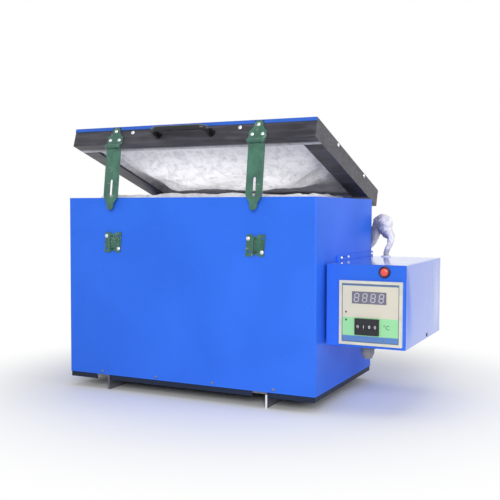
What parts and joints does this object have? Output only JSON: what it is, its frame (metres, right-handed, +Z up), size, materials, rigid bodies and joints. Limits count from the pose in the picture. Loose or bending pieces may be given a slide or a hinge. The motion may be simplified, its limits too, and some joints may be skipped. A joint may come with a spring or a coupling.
{
  "type": "bead annealing kiln",
  "caption": "Fibre-lined top-loading kiln with a rear-hinged lid, strap hasps and a side control box, for annealing glass beads.",
  "frame": {"origin": "centre of the bounding box's base, on the surface that the feet stand on, with the lid as far open as in the picture", "axes": "+X to the right towards the control box, +Y from the front with the hasps to the hinges at the rear, +Z up"},
  "size_m": [0.5832, 0.3498, 0.4439],
  "materials": {
    "blue_paint": "gloss",
    "dark_paint": "satin",
    "grey_steel": "satin",
    "charcoal_paint": "satin",
    "bright_zinc": "satin",
    "green_paint": "satin",
    "kiln_fibre": "matt",
    "quartz": "milky",
    "kiln_ceramic": "matt",
    "white_sleeve": "matt",
    "black_rubber": "matt",
    "black_paint": "gloss",
    "black_plastic": "matt",
    "cream_plastic": "satin",
    "face_print": "satin",
    "dark_window": "gloss",
    "lamp_plastic": "gloss",
    "red_plastic": "gloss",
    "grey_plastic": "satin"
  },
  "bodies": {
    "kiln": {"outer_casing": "blue_paint", "base_tray": "dark_paint", "foot_left": "grey_steel", "foot_right": "grey_steel", "foot_screws": "grey_steel", "casing_rivets": "bright_zinc", "insulation_floor": "kiln_fibre", "insulation_long_walls": "kiln_fibre", "insulation_end_walls": "kiln_fibre", "fibre_rim": "kiln_fibre", "heater_tubes": "quartz", "tube_holders": "kiln_ceramic", "hearth_plate": "kiln_ceramic", "hearth_props": "kiln_ceramic", "thermocouple_sheath": "kiln_ceramic", "thermocouple_head": "kiln_ceramic", "terminal_cover": "blue_paint", "terminal_block": "kiln_ceramic", "terminal_cover_screws": "grey_steel", "lead_bundle": "white_sleeve", "lead_bushes": "black_rubber", "hinge_body_leaves": "green_paint", "hinge_pins": "grey_steel", "hinge_body_screws": "grey_steel", "staples": "green_paint", "staple_screws": "bright_zinc", "mounting_plate": "blue_paint", "mounting_screws": "bright_zinc", "box_chassis": "blue_paint", "box_cover": "blue_paint", "box_cover_screws": "black_paint", "controller_case": "cream_plastic", "controller_face": "face_print", "display_window": "dark_window", "indicator_lamps": "lamp_plastic", "controller_clamps": "black_plastic", "thumbwheel_frame": "black_plastic", "wheel_axle": "grey_steel", "button_body": "black_plastic", "cable_gland": "grey_plastic", "relay_block": "grey_plastic"},
    "lid": {"lid_frame": "charcoal_paint", "lid_cover": "blue_paint", "lid_pad": "kiln_fibre", "lid_rivets": "bright_zinc", "lid_handle": "black_paint", "hasp_leaves": "green_paint", "hasp_rivets": "bright_zinc", "hinge_lid_leaves": "green_paint", "hinge_lid_screws": "grey_steel", "hasp_pin_left": "grey_steel", "hasp_pin_right": "grey_steel"},
    "strap_left": {"hasp_strap_left": "green_paint"},
    "strap_right": {"hasp_strap_right": "green_paint"},
    "wheel_1": {"digit_wheel_1": "black_plastic"},
    "wheel_2": {"digit_wheel_2": "black_plastic"},
    "wheel_3": {"digit_wheel_3": "black_plastic"},
    "wheel_4": {"digit_wheel_4": "black_plastic"},
    "button": {"button_cap": "red_plastic"}
  },
  "joints": [
    {"name": "lid_hinge", "type": "hinge", "parent": "kiln", "child": "lid", "pos_m": [-0.06415, 0.1257, 0.3218], "axis": [-1, 0, 0], "range_deg": [-17.6, 62.4]},
    {"name": "hasp_strap_left_turn", "type": "hinge", "parent": "lid", "child": "strap_left", "pos_m": [-0.20015, -0.15697, 0.41115], "axis": [-1, 0, 0], "range_deg": [-62.4, 17.6]},
    {"name": "hasp_strap_right_turn", "type": "hinge", "parent": "lid", "child": "strap_right", "pos_m": [0.06385, -0.15697, 0.41115], "axis": [-1, 0, 0], "range_deg": [-62.4, 17.6]},
    {"name": "digit_wheel_1_turn", "type": "hinge", "parent": "kiln", "child": "wheel_1", "pos_m": [0.21995, -0.12301, 0.1321], "axis": [1, 0, 0], "continuous": true},
    {"name": "digit_wheel_2_turn", "type": "hinge", "parent": "kiln", "child": "wheel_2", "pos_m": [0.22875, -0.12301, 0.1321], "axis": [1, 0, 0], "continuous": true},
    {"name": "digit_wheel_3_turn", "type": "hinge", "parent": "kiln", "child": "wheel_3", "pos_m": [0.23755, -0.12301, 0.1321], "axis": [1, 0, 0], "continuous": true},
    {"name": "digit_wheel_4_turn", "type": "hinge", "parent": "kiln", "child": "wheel_4", "pos_m": [0.24635, -0.12301, 0.1321], "axis": [1, 0, 0], "continuous": true},
    {"name": "button_press", "type": "slide", "parent": "kiln", "child": "button", "axis": [0, 1, 0], "range_m": [0, 0.0025], "stiffness_N_per_m": 200}
  ],
  "couplings": [
    {"joint": "hasp_strap_left_turn", "follows": "lid_hinge", "ratio": -1},
    {"joint": "hasp_strap_right_turn", "follows": "lid_hinge", "ratio": -1}
  ]
}
